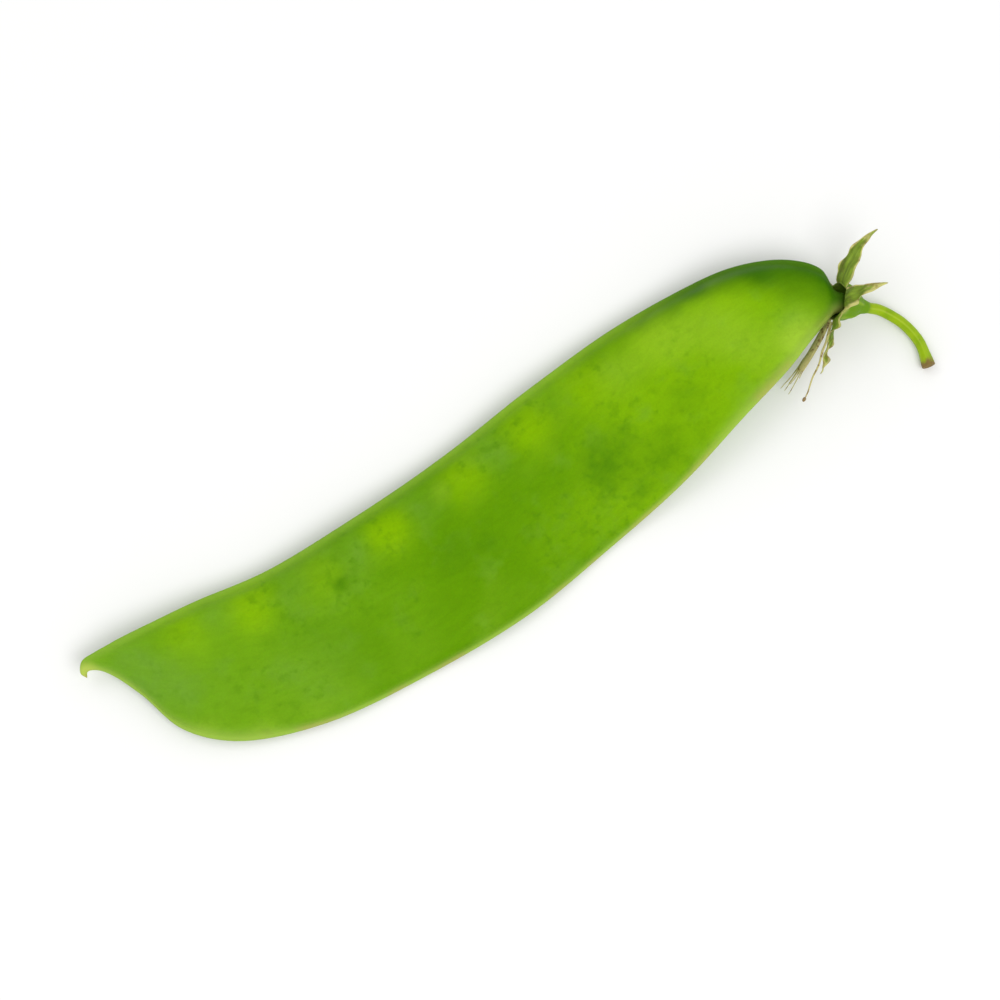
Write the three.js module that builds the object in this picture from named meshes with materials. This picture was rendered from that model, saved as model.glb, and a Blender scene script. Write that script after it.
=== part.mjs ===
// Snow pea pod, picked with its calyx and stalk and lying on its side.
//
// Millimetres, +Z up, resting on z = 0. +X runs from the beaked tip to the stalk, and +Y
// is the ventral side, where the peas sit along the seam. Shapes are laid out from the
// pod's tip; the last lines move the whole group so that the origin is the bottom centre
// of its bounding box.

import * as THREE from 'three';

const { degToRad, lerp, smoothstep } = THREE.MathUtils;

// ---- driving dimensions ----

const POD_LENGTH = 95;
const POD_WIDTH = 19.6;
const VALVE_SWELL = 1.75; // half thickness of the flat blade between two peas
const SHOULDER_SWELL = 0.7; // what the fuller stem end adds to that
const NECK_SLIMMING = 0.45; // what the neck loses of it
const PEA_SWELL = 0.8; // how far one pea lifts the wall
const PEA_SPREAD = 2.7; // reach of that rise
const CALYX_HEIGHT = 4.2;
const CALYX_RADIUS = 2.25; // outside, at the rim
const SEPAL_THICKNESS = 0.44;
const STALK_RADIUS = 0.62;
const GAP = 0.32; // clearance between pieces that touch

// How finely the round shapes are divided.
const SECTION_STEP = 1.8; // distance between two cross-sections of the pod
const BODY_SIDES = 28;
const CUP_SIDES = 20;
const LEAF_ROWS = 12;
const SEPAL_SIDES = 10;
const SHEATH_SIDES = 8;
const STALK_ROWS = 20;
const STALK_SIDES = 10;
const THREAD_ROWS = 14;
const THREAD_SIDES = 6;

// ---- helpers ----

// A closed body: the rows and columns of a sphere, each vertex moved to place(angle, row).
// With `along` the way the rows run, the angle turns from a direction u to u x along.
function closedBody(rows, sides, place) {
  const geometry = new THREE.SphereGeometry(1, sides, rows);
  const position = geometry.attributes.position;
  for (let row = 0; row <= rows; row += 1) {
    for (let side = 0; side <= sides; side += 1) {
      const angle = 2 * Math.PI * (side % sides) / sides;
      const point = place(angle, row);
      position.setXYZ(row * (sides + 1) + side, point.x, point.y, point.z);
    }
  }
  geometry.computeVertexNormals();
  return geometry;
}

function named(name, geometry, material) {
  const mesh = new THREE.Mesh(geometry, material);
  mesh.name = name;
  return mesh;
}

function skin(color, roughness) {
  return new THREE.MeshStandardMaterial({ color, roughness, metalness: 0 });
}

const podSkin = skin(0x72a612, 0.42);
const calyxSkin = skin(0x6b8f2a, 0.6);
const dryGreen = skin(0x8f9c4a, 0.75);
const dryBrown = skin(0x9a7d4c, 0.85);
const stalkSkin = skin(0x86ad2b, 0.5);

// ---- pod: outline ----

// Both seams in the plane of the blade, as [share of the length, share of the width].
// Points of the same index face each other across the pod: beak, tip, body, shoulder, neck.
const VENTRAL_SEAM = [
  [0.0012, -0.068],
  [-0.0033, -0.030],
  [0.004, 0.032],
  [0.021, 0.046],
  [0.052, 0.055],
  [0.100, 0.059],
  [0.158, 0.060],
  [0.253, 0.041],
  [0.378, 0.098],
  [0.504, 0.197],
  [0.631, 0.328],
  [0.747, 0.428],
  [0.842, 0.454],
  [0.912, 0.430],
  [0.969, 0.336],
  [1.0045, 0.185],
  [1.0085, 0.030],
  [1.020, -0.005],
];
const DORSAL_SEAM = [
  [0.0016, -0.071],
  [0.0052, -0.037],
  [0.016, -0.051],
  [0.029, -0.112],
  [0.0505, -0.290],
  [0.076, -0.568],
  [0.127, -0.767],
  [0.232, -0.902],
  [0.368, -0.910],
  [0.505, -0.858],
  [0.632, -0.711],
  [0.747, -0.566],
  [0.842, -0.397],
  [0.912, -0.272],
  [0.958, -0.165],
  [0.982, -0.113],
  [0.9955, -0.088],
  [1.0085, -0.102],
];

// Where the peas sit: [share of the length, distance in from the ventral seam].
const PEAS = [
  [0.130, 2.8],
  [0.211, 3.4],
  [0.305, 4.1],
  [0.399, 3.9],
  [0.507, 3.8],
  [0.606, 4.3],
  [0.692, 4.1],
  [0.785, 4.1],
  [0.872, 4.1],
];

function seamCurve(points) {
  const places = points.map(
    ([along, across]) => new THREE.Vector3(along * POD_LENGTH, across * POD_WIDTH, 0),
  );
  return new THREE.CatmullRomCurve3(places);
}

const ventral = seamCurve(VENTRAL_SEAM);
const dorsal = seamCurve(DORSAL_SEAM);

// Curve parameters of the cross-sections, about SECTION_STEP apart on the longer seam.
function podStations() {
  const stations = [0];
  const spans = VENTRAL_SEAM.length - 1;
  for (let span = 0; span < spans; span += 1) {
    const lengths = [ventral, dorsal].map((seam) => {
      return seam.points[span].distanceTo(seam.points[span + 1]);
    });
    const steps = Math.max(2, Math.round(Math.max(...lengths) / SECTION_STEP));
    for (let step = 1; step <= steps; step += 1) {
      stations.push((span + step / steps) / spans);
    }
  }
  return stations;
}

// ---- pod: heights ----

const BODY_HEIGHT = 1.65; // middle of the blade above the surface it lies on
const BODY_TILT = 0.9; // ventral seam above that, dorsal seam as far below
const TIP_LIFT = 1.3;
const STEM_LIFT = 3.3;
const NECK_DROP = 1.05;
const NECK_START = 15 / 17; // curve parameter where the neck starts to bend down
const STEM_TWIST = 1.7; // how far the ventral seam turns down again at the shoulder

// Height of the middle surface. side is -1 on the dorsal seam and 1 on the ventral seam.
function middleHeight(share, side, station) {
  const tip = TIP_LIFT * (1 - smoothstep(share, -0.02, 0.22));
  const stem = STEM_LIFT * smoothstep(share, 0.64, 0.96);
  const bend = Math.max(0, (station - NECK_START) / (1 - NECK_START));
  const blade = smoothstep(share, -0.01, 0.06) * (1 - smoothstep(share, 0.94, 1.0));
  const tilt = blade * (BODY_TILT - STEM_TWIST * smoothstep(share, 0.6, 0.86));
  return BODY_HEIGHT + tip + stem - NECK_DROP * Math.pow(bend, 1.6) + tilt * side;
}

const peaCentres = PEAS.map(([share, inset]) => {
  let nearest = ventral.points[0];
  for (const point of ventral.getPoints(400)) {
    const gap = Math.abs(point.x - share * POD_LENGTH);
    if (gap < Math.abs(nearest.x - share * POD_LENGTH)) nearest = point;
  }
  return new THREE.Vector3(nearest.x, nearest.y - inset, 0);
});

function peaRise(point) {
  let rise = 0;
  for (const centre of peaCentres) {
    const reach = Math.hypot(point.x - centre.x, point.y - centre.y) / PEA_SPREAD;
    rise += PEA_SWELL * Math.exp(-0.9 * reach * reach);
  }
  return rise;
}

// Half thickness of the blade; a narrow section is never thicker than it is wide.
function halfThickness(share, side, width, point, angle) {
  const rounding = Math.pow(Math.abs(Math.sin(angle)), 0.85);
  const swell = VALVE_SWELL * lerp(0.35, 1, smoothstep(share, 0, 0.17))
    + SHOULDER_SWELL * smoothstep(share, 0.66, 0.88) * (1 - smoothstep(share, 0.9, 1.0))
    - NECK_SLIMMING * smoothstep(share, 0.93, 1.0);
  const slim = 1 / Math.cbrt(swell ** -3 + (width / 2) ** -3);
  return rounding * (slim * (1 + 0.2 * side) + peaRise(point));
}

function makePod() {
  const stations = podStations();
  const place = (angle, row) => {
    const near = dorsal.getPoint(stations[row]);
    const far = ventral.getPoint(stations[row]);
    const width = near.distanceTo(far);
    const side = Math.cos(angle);
    const isEnd = row === 0 || row === stations.length - 1;
    const point = near.lerp(far, isEnd ? 0.5 : (1 + side) / 2);
    const share = point.x / POD_LENGTH;
    const half = isEnd ? 0 : halfThickness(share, side, width, point, angle);
    const middle = middleHeight(share, isEnd ? 0 : side, stations[row]);
    point.z = Math.max(middle - Math.sign(Math.sin(angle)) * half, 0);
    return point;
  };
  return named('pod', closedBody(stations.length - 1, BODY_SIDES, place), podSkin);
}

// ---- calyx cup ----

// From the stalk towards the pod: the neck bends down and to the dorsal side.
const calyxAxis = new THREE.Vector3(-0.74, 0.45, 0.5).normalize();
const rimCentre = new THREE.Vector3(1.0037 * POD_LENGTH, -0.0225 * POD_WIDTH, 4.6);
const footCentre = rimCentre.clone().addScaledVector(calyxAxis, -CALYX_HEIGHT);

function makeCalyxCup() {
  const rim = CALYX_RADIUS;
  const outline = [
    [0, 0],
    [0.31 * rim, 0],
    [0.37 * rim, 0.1 * CALYX_HEIGHT],
    [0.43 * rim, 0.2 * CALYX_HEIGHT],
    [0.72 * rim, 0.46 * CALYX_HEIGHT],
    [0.93 * rim, 0.75 * CALYX_HEIGHT],
    [rim, CALYX_HEIGHT],
    [0.88 * rim, CALYX_HEIGHT],
    [0.82 * rim, 0.78 * CALYX_HEIGHT],
    [0.62 * rim, 0.62 * CALYX_HEIGHT],
    [0, 0.58 * CALYX_HEIGHT],
  ];
  const profile = outline.map(([radius, height]) => new THREE.Vector2(radius, height));
  const geometry = new THREE.LatheGeometry(profile, CUP_SIDES);
  const mesh = named('calyx_cup', geometry, calyxSkin);
  mesh.quaternion.setFromUnitVectors(new THREE.Vector3(0, 1, 0), calyxAxis);
  mesh.position.copy(footCentre);
  return mesh;
}

// ---- sepals ----

// around: place on the rim, in degrees from straight up, turning towards the ventral side.
// leave and reach: angles in degrees between the calyx axis and the sepal at its base and
// at its tip. sway turns the blade round the axis, twist turns it about its own midrib.
const SEPALS = [
  { name: 'sepal_dorsal_upper', around: -66, length: 8.4, leave: 60, reach: 78, sway: -6, twist: 84 },
  { name: 'sepal_dorsal_lower', around: -152, length: 7.4, leave: 70, reach: 62, sway: 12, twist: -35 },
  { name: 'sepal_top', around: -4, length: 6.6, leave: 62, reach: 158, sway: 14, twist: 18 },
  { name: 'sepal_ventral', around: 62, length: 7.8, leave: 80, reach: 136, sway: 0, twist: 70 },
  { name: 'sepal_underside', around: 148, length: 6.0, leave: 79, reach: 56, sway: 6, twist: 24 },
];
const SEPAL_HALF_WIDTH = 1.15;

const rimUp = new THREE.Vector3(0, 0, 1).projectOnPlane(calyxAxis).normalize();
const rimAcross = new THREE.Vector3().crossVectors(rimUp, calyxAxis);

// A blade bent along a circular arc that leaves the calyx axis outwards.
function bladeFrame(blade, share) {
  const start = degToRad(blade.leave);
  const bend = degToRad(blade.reach - blade.leave);
  const angle = start + bend * share;
  const turned = degToRad(blade.around + blade.sway * share);
  const outward = rimUp.clone().multiplyScalar(Math.cos(turned));
  outward.addScaledVector(rimAcross, -Math.sin(turned));
  const inAxis = blade.length / bend * (Math.sin(angle) - Math.sin(start));
  const outOfAxis = blade.length / bend * (Math.cos(start) - Math.cos(angle));
  const along = calyxAxis.clone().multiplyScalar(Math.cos(angle));
  along.addScaledVector(outward, Math.sin(angle));
  const across = new THREE.Vector3().crossVectors(calyxAxis, outward);
  across.applyAxisAngle(along, degToRad(blade.twist * share));
  const centre = rimCentre.clone().addScaledVector(calyxAxis, blade.clear + inAxis);
  centre.addScaledVector(outward, blade.radius + outOfAxis);
  return { centre, across, normal: new THREE.Vector3().crossVectors(across, along) };
}

// A thin leaf on a blade's frame: broadest near its base, pointed, cupped across.
function leafGeometry(blade, halfWidth, thickness, sides) {
  return closedBody(LEAF_ROWS, sides, (angle, row) => {
    const share = row / LEAF_ROWS;
    const frame = bladeFrame(blade, share);
    const spread = Math.max(0, Math.sin(Math.PI * Math.pow(share, 0.5)));
    const half = halfWidth * Math.pow(spread, 0.75);
    const side = half * Math.cos(angle);
    const lift = thickness / 2 * Math.pow(spread, 0.4) * Math.sin(angle) + 0.12 * side * side;
    return frame.centre.addScaledVector(frame.across, side).addScaledVector(frame.normal, lift);
  });
}

function makeSepal(spec) {
  const blade = { ...spec, clear: GAP + SEPAL_THICKNESS / 2, radius: 0.93 * CALYX_RADIUS };
  const geometry = leafGeometry(blade, SEPAL_HALF_WIDTH, SEPAL_THICKNESS, SEPAL_SIDES);
  return named(spec.name, geometry, dryGreen);
}

// ---- stalk and dried stamens ----

// A round limb along a curve, with flat ends.
function limbGeometry(curve, radiusAt, rows, sides) {
  const frames = curve.computeFrenetFrames(rows, false);
  const bodyRows = rows + 2;
  return closedBody(bodyRows, sides, (angle, row) => {
    const step = Math.min(Math.max(row - 1, 0), rows);
    const isEnd = row === 0 || row === bodyRows;
    const radius = isEnd ? 0 : radiusAt(step / rows);
    const point = curve.getPointAt(step / rows);
    const tangent = frames.tangents[step];
    const first = frames.normals[step];
    const second = new THREE.Vector3().crossVectors(first, tangent);
    point.addScaledVector(first, radius * Math.cos(angle));
    return point.addScaledVector(second, radius * Math.sin(angle));
  });
}

function makeStalk() {
  const start = footCentre.clone().addScaledVector(calyxAxis, -GAP);
  const curve = new THREE.CatmullRomCurve3([
    start,
    start.clone().addScaledVector(calyxAxis, -1.6),
    start.clone().add(new THREE.Vector3(2.9, -3.2, -1.32)),
    start.clone().add(new THREE.Vector3(3.6, -5.9, -1.5)),
    start.clone().add(new THREE.Vector3(3.3, -8.8, -1.42)),
  ]);
  const radiusAt = (share) => STALK_RADIUS * (1 + 0.22 * smoothstep(share, 0.82, 1));
  return named('stalk', limbGeometry(curve, radiusAt, STALK_ROWS, STALK_SIDES), stalkSkin);
}

// The sheath is a papery strip and the free stamen a thread; both leave from inside the cup.
const STAMEN_SHEATH = {
  around: -119, length: 9.8, leave: 84, reach: 62, sway: 4, twist: -40,
  clear: 0.4, radius: 1.1 * CALYX_RADIUS,
};
const SHEATH_HALF_WIDTH = 0.55;
const SHEATH_THICKNESS = 0.36;
const FREE_STAMEN = {
  around: -93, length: 9.0, leave: 82, reach: 72, sway: -4, twist: 0,
  clear: 0.4, radius: 1.25 * CALYX_RADIUS,
};
const THREAD_RADIUS = 0.2;

function makeStamenSheath() {
  const geometry = leafGeometry(STAMEN_SHEATH, SHEATH_HALF_WIDTH, SHEATH_THICKNESS, SHEATH_SIDES);
  return named('stamen_sheath', geometry, dryBrown);
}

function makeFreeStamen() {
  const points = [0, 0.25, 0.5, 0.75, 1].map((share) => bladeFrame(FREE_STAMEN, share).centre);
  const curve = new THREE.CatmullRomCurve3(points);
  const geometry = limbGeometry(curve, () => THREAD_RADIUS, THREAD_ROWS, THREAD_SIDES);
  return named('free_stamen', geometry, dryBrown);
}

// ---- the part ----

const part = new THREE.Group();
part.add(makePod(), makeCalyxCup());
for (const spec of SEPALS) part.add(makeSepal(spec));
part.add(makeStalk(), makeStamenSheath(), makeFreeStamen());

const box = new THREE.Box3().setFromObject(part, true);
const centre = box.getCenter(new THREE.Vector3());
part.position.set(-centre.x, -centre.y, -box.min.z);
part.updateMatrixWorld(true);

export default part;
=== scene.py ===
# Snow pea pod lying on its side: the looks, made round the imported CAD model.
#
# Shapes are laid out in millimetres from the pod's tip, with +X to the stalk and +Y to the
# ventral seam, as the CAD has them. to_row() moves them to the row frame, in metres.

import math

import bpy
import numpy as np
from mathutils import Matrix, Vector, noise


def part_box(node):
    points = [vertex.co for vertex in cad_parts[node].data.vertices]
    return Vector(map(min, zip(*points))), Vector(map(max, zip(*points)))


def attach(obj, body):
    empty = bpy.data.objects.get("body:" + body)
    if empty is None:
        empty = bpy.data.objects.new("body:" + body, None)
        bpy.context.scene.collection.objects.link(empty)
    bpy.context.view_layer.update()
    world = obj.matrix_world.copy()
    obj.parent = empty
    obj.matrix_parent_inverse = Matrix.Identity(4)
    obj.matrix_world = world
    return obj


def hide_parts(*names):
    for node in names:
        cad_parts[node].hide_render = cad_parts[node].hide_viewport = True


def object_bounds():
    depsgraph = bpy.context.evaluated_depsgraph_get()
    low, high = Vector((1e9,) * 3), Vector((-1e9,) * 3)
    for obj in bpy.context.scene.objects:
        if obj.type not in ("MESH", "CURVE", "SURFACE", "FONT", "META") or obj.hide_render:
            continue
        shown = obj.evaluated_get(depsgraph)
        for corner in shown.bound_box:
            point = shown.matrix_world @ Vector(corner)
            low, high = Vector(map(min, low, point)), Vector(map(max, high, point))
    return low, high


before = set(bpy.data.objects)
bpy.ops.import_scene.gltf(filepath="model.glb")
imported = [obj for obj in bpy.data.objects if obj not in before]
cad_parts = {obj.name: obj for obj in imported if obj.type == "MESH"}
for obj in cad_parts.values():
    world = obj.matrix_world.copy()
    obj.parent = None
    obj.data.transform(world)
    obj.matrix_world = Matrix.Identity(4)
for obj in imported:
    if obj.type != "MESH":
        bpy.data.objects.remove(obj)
cad_low, cad_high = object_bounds()

MM = 0.001
TINY = 1e-12
LEAST_GAP = 1e-6  # between the points of a curve

# ---- camera: the photograph's viewing angle, closer in on the one pod ----

VIEW_AZIMUTH = -26.4
VIEW_ELEVATION = 80.0
CAMERA_DISTANCE = 0.5
VIEW_WIDTH = 0.113  # what the frame takes in at the pod
AIM_OFFSET = (-0.0006, 0.0004, 0.0)  # frames the pod as the photograph does
SENSOR_WIDTH = 36.0  # millimetres
FAR_CLIP = 10.0


def direction(azimuth, elevation):
    """From the object to a camera or lamp; azimuth 0 is in front, 90 to the right."""
    turn, rise = math.radians(azimuth), math.radians(elevation)
    level = math.cos(rise)
    return Vector((math.sin(turn) * level, -math.cos(turn) * level, math.sin(rise)))


def link(name, data):
    made = bpy.data.objects.new(name, data)
    bpy.context.scene.collection.objects.link(made)
    return made


def aim(thing, target, back, distance):
    thing.location = target + back * distance
    thing.rotation_mode = "QUATERNION"
    thing.rotation_quaternion = (-back).to_track_quat("-Z", "Y")


def make_camera():
    camera = link("camera", bpy.data.cameras.new("camera"))
    camera.data.sensor_width = SENSOR_WIDTH
    camera.data.lens = SENSOR_WIDTH * CAMERA_DISTANCE / VIEW_WIDTH
    camera.data.clip_end = FAR_CLIP
    centre = (cad_low + cad_high) / 2 + Vector(AIM_OFFSET)
    aim(camera, centre, direction(VIEW_AZIMUTH, VIEW_ELEVATION), CAMERA_DISTANCE)
    bpy.context.scene.camera = camera


make_camera()

# ---- number helpers ----


def smooth(x, low, high):
    """0 at low and 1 at high, with a smooth step between; low may be the larger one."""
    x = np.clip((x - low) / (high - low), 0.0, 1.0)
    return x * x * (3 - 2 * x)


def bell(x, width, centre=0.0):
    """1 at the centre, falling off to both sides of it within about width."""
    return np.exp(-(((x - centre) / width) ** 2))


def above_floor(height, softness):
    """Heights eased up so that they stay over the surface that the pod lies on."""
    return 0.5 * (height + np.sqrt(height**2 + softness))


def unit(vectors):
    lengths = np.linalg.norm(vectors, axis=-1, keepdims=True)
    return vectors / np.maximum(lengths, TINY)


def round_angles(count):
    """Evenly spaced angles once round, in radians."""
    return np.linspace(0, 2 * math.pi, count, endpoint=False)


def points_at(x, y, z):
    """Points from three coordinates, each of them an array or one value."""
    return np.stack(np.broadcast_arrays(x, y, z), axis=-1)


def root_distance(start, end):
    return np.maximum(np.linalg.norm(end - start, axis=1) ** 0.5, LEAST_GAP)[:, None]


def spline(points, t):
    """Centripetal Catmull-Rom curve through points, at parameters t from 0 to 1."""
    points = np.asarray(points, float)
    t = np.atleast_1d(t)
    ends = 2 * points[0] - points[1], 2 * points[-1] - points[-2]
    padded = np.vstack([ends[0], points, ends[1]])
    place = np.clip(t, 0, 1) * (len(points) - 1)
    span = np.minimum(place.astype(int), len(points) - 2)
    part = (place - span)[:, None]
    near = [padded[span + k] for k in range(4)]
    gap_before, gap, gap_after = [root_distance(*pair) for pair in zip(near, near[1:])]
    before, start, end, after = near
    leaving = (start - before) / gap_before - (end - before) / (gap_before + gap)
    leaving = (leaving + (end - start) / gap) * gap
    arriving = (end - start) / gap - (after - start) / (gap + gap_after)
    arriving = (arriving + (after - end) / gap_after) * gap
    square = -3 * start + 3 * end - 2 * leaving - arriving
    cube = 2 * start - 2 * end + leaving + arriving
    return start + leaving * part + square * part**2 + cube * part**3


def grain(points, size, seed=0.0):
    """Smooth noise from about -1 to 1 at each point; size is the length of a swell."""
    flat = np.asarray(points, float).reshape(-1, 3) / size + seed
    values = [noise.noise(Vector(p)) for p in flat]
    return np.array(values).reshape(np.asarray(points).shape[:-1])


# ---- meshes from rings ----


def to_vertices(rings):
    """Values in rings[row][column] as a list; the first and last ring shrink to one each."""
    rows, columns = rings.shape[:2]
    table = rings.reshape(rows, columns, -1)
    middle = table[1:-1].reshape(-1, table.shape[2])
    return np.vstack([table[0].mean(axis=0), middle, table[-1].mean(axis=0)])


def ring_faces(rows, columns):
    """Faces between the vertices that to_vertices lists."""
    index = 1 + np.arange((rows - 2) * columns).reshape(rows - 2, columns)
    following = np.roll(index, -1, axis=1)
    quads = np.stack([index[:-1], index[1:], following[1:], following[:-1]], axis=-1)
    last = 1 + index.size
    first_fan = [(0, int(a), int(b)) for a, b in zip(index[0], following[0])]
    last_fan = [(last, int(b), int(a)) for a, b in zip(index[-1], following[-1])]
    return quads.reshape(-1, 4).tolist() + first_fan + last_fan


def make_mesh(name, rings, fields):
    """A closed body through rings[row][column].

    fields holds, by attribute name, a number or a triple for each row and column.
    """
    data = bpy.data.meshes.new(name)
    points = to_row(to_vertices(rings))
    data.from_pydata(points.tolist(), [], ring_faces(*rings.shape[:2]))
    for field, values in fields.items():
        values = to_vertices(np.asarray(values, float)).astype(np.float32)
        is_vector = values.shape[1] == 3
        made = data.attributes.new(field, "FLOAT_VECTOR" if is_vector else "FLOAT", "POINT")
        made.data.foreach_set("vector" if is_vector else "value", values.ravel())
    data.update()
    if signed_volume(data) < 0:
        data.flip_normals()
    data.shade_smooth()
    return link(name, data)


def signed_volume(data):
    data.calc_loop_triangles()
    points = np.array([v.co for v in data.vertices])
    corners = points[np.array([t.vertices for t in data.loop_triangles])]
    return np.einsum("ij,ij->i", corners[:, 0], np.cross(corners[:, 1], corners[:, 2])).sum()


def join_rings(name, parts):
    """One mesh from several closed bodies, each given as rings and fields."""
    made = [make_mesh(name, rings, fields) for rings, fields in parts]
    with bpy.context.temp_override(active_object=made[0], selected_editable_objects=made):
        bpy.ops.object.join()
    return made[0]


def finish_piece(piece, node, look):
    piece.data.materials.clear()
    piece.data.materials.append(look)
    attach(piece, "root")
    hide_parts(node)


# ---- pod: outline and heights, as in the CAD ----

POD_LENGTH = 95.0
POD_WIDTH = 19.6
VALVE_SWELL = 1.75  # half thickness of the flat blade between two peas
SHOULDER_SWELL = 0.7  # what the fuller stem end adds to that
NECK_SLIMMING = 0.45  # what the neck loses of it
PEA_SWELL = 0.8  # how far one pea lifts the wall
PEA_SPREAD = 2.7  # reach of that rise
PEA_STRETCH = 1.08  # along the pod

# Both seams in the plane of the blade, as [share of the length, share of the width].
VENTRAL_SEAM = [
    [0.0012, -0.068],
    [-0.0033, -0.030],
    [0.004, 0.032],
    [0.021, 0.046],
    [0.052, 0.055],
    [0.100, 0.059],
    [0.158, 0.060],
    [0.253, 0.041],
    [0.378, 0.098],
    [0.504, 0.197],
    [0.631, 0.328],
    [0.747, 0.428],
    [0.842, 0.454],
    [0.912, 0.430],
    [0.969, 0.336],
    [1.0045, 0.185],
    [1.0085, 0.030],
    [1.020, -0.005],
]
DORSAL_SEAM = [
    [0.0016, -0.071],
    [0.0052, -0.037],
    [0.016, -0.051],
    [0.029, -0.112],
    [0.0505, -0.290],
    [0.076, -0.568],
    [0.127, -0.767],
    [0.232, -0.902],
    [0.368, -0.910],
    [0.505, -0.858],
    [0.632, -0.711],
    [0.747, -0.566],
    [0.842, -0.397],
    [0.912, -0.272],
    [0.958, -0.165],
    [0.982, -0.113],
    [0.9955, -0.088],
    [1.0085, -0.102],
]

# The peas: share of the length, distance in from the ventral seam, how much of the swell
# each one has, and how far its colour shows through.
PEAS = [
    (0.130, 2.8, 1.0, 0.7),
    (0.211, 3.4, 1.1, 0.95),
    (0.305, 4.1, 0.75, 0.5),
    (0.399, 3.9, 1.0, 1.1),
    (0.507, 3.8, 1.15, 0.85),
    (0.606, 4.3, 1.05, 0.9),
    (0.692, 4.1, 1.1, 0.8),
    (0.785, 4.1, 0.8, 0.6),
    (0.872, 4.1, 0.75, 0.5),
]

BODY_HEIGHT = 1.65  # middle of the blade above the surface it lies on
BODY_TILT = 0.9  # ventral seam above that, dorsal seam as far below
TIP_LIFT = 1.3
STEM_LIFT = 3.3
NECK_DROP = 1.05
NECK_START = 15 / 17  # curve parameter where the neck starts to bend down
STEM_TWIST = 1.7  # how far the ventral seam turns down again at the shoulder

# Shares of the length over which the height and the thickness change.
TIP_COMES_DOWN = (-0.02, 0.22)
STEM_GOES_UP = (0.64, 0.96)
BLADE_BEGINS = (-0.01, 0.06)
BLADE_ENDS = (0.94, 1.0)
SHOULDER_TURNS = (0.6, 0.86)
TIP_THICKENS = (0.0, 0.17)
SHOULDER_BEGINS = (0.66, 0.88)
SHOULDER_ENDS = (0.9, 1.0)
NECK_THINS = (0.93, 1.0)

SEAM_SAMPLES = 4000  # points along a seam, to find the outline's box

in_plane = np.array([POD_LENGTH, POD_WIDTH])
ventral = np.array(VENTRAL_SEAM) * in_plane
dorsal = np.array(DORSAL_SEAM) * in_plane

# The CAD's pod has the same outline, so its box tells where the tip lies in the row frame.
every_t = np.linspace(0, 1, SEAM_SAMPLES)
pod_outline = np.vstack([spline(ventral, every_t), spline(dorsal, every_t)])
pod_low = np.array(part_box("pod")[0])
tip_place = np.array([*(pod_low[:2] / MM - pod_outline.min(axis=0)), 0.0])


def to_row(points):
    return (np.asarray(points, float) + tip_place) * MM


def middle_height(share, side, station):
    """Height of the blade's middle surface; side is -1 on the dorsal seam, 1 on the other."""
    tip = TIP_LIFT * (1 - smooth(share, *TIP_COMES_DOWN))
    stem = STEM_LIFT * smooth(share, *STEM_GOES_UP)
    bend = np.maximum(0, (station - NECK_START) / (1 - NECK_START)) ** 1.6
    blade = smooth(share, *BLADE_BEGINS) * (1 - smooth(share, *BLADE_ENDS))
    tilt = blade * (BODY_TILT - STEM_TWIST * smooth(share, *SHOULDER_TURNS))
    return BODY_HEIGHT + tip + stem - NECK_DROP * bend + tilt * side


def pea_places():
    """Place of each pea along and across, with its share of the swell and its glow."""
    seam = spline(ventral, every_t)
    order = np.argsort(seam[:, 0])
    places = []
    for share, inset, strength, glow in PEAS:
        along = share * POD_LENGTH
        seam_across = np.interp(along, seam[order, 0], seam[order, 1])
        places.append((along, seam_across - inset, strength, glow))
    return places


# ---- pod: the fine surface ----

POD_ROWS = 430
POD_COLUMNS = 168
DORSAL_BEAD = 0.36  # radius of the ridge that each seam makes
VENTRAL_BEAD = 0.5
SEAM_GROOVE = 0.13  # depth of the groove where the two valves meet
GROOVE_WIDTH = 0.17
RIPPLE = 0.09  # uneven thickness of the wall
RIPPLE_SIZE = 4.2
SWELL = 0.22  # slow swells that keep the blade from being flat
SWELL_SIZE = 13.0
SEAM_WAVE = 0.25  # waves that keep the seams from being ruled lines
SEAM_WAVES = 21.0  # radians of them in the length
FACE_SHIFT = 1.5  # makes the noise differ between the two faces
FLOOR_EASE = 0.03
WIDE_BLADE = (2.0, 7.0)  # widths between which the fine forms fade in


def pod_stations():
    """Curve parameters of the rings, evenly spaced along the longer seam."""
    seams = [spline(seam, every_t) for seam in (ventral, dorsal)]
    steps = [np.linalg.norm(np.diff(seam, axis=0), axis=1) for seam in seams]
    travelled = np.concatenate([[0], np.cumsum(np.maximum(*steps))])
    return np.interp(np.linspace(0, travelled[-1], POD_ROWS), travelled, every_t)


def bead(distance, radius):
    """Half thickness of a round ridge at a distance in from its outer edge."""
    return np.sqrt(np.maximum(0, radius**2 - (np.minimum(distance, 2 * radius) - radius) ** 2))


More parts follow.
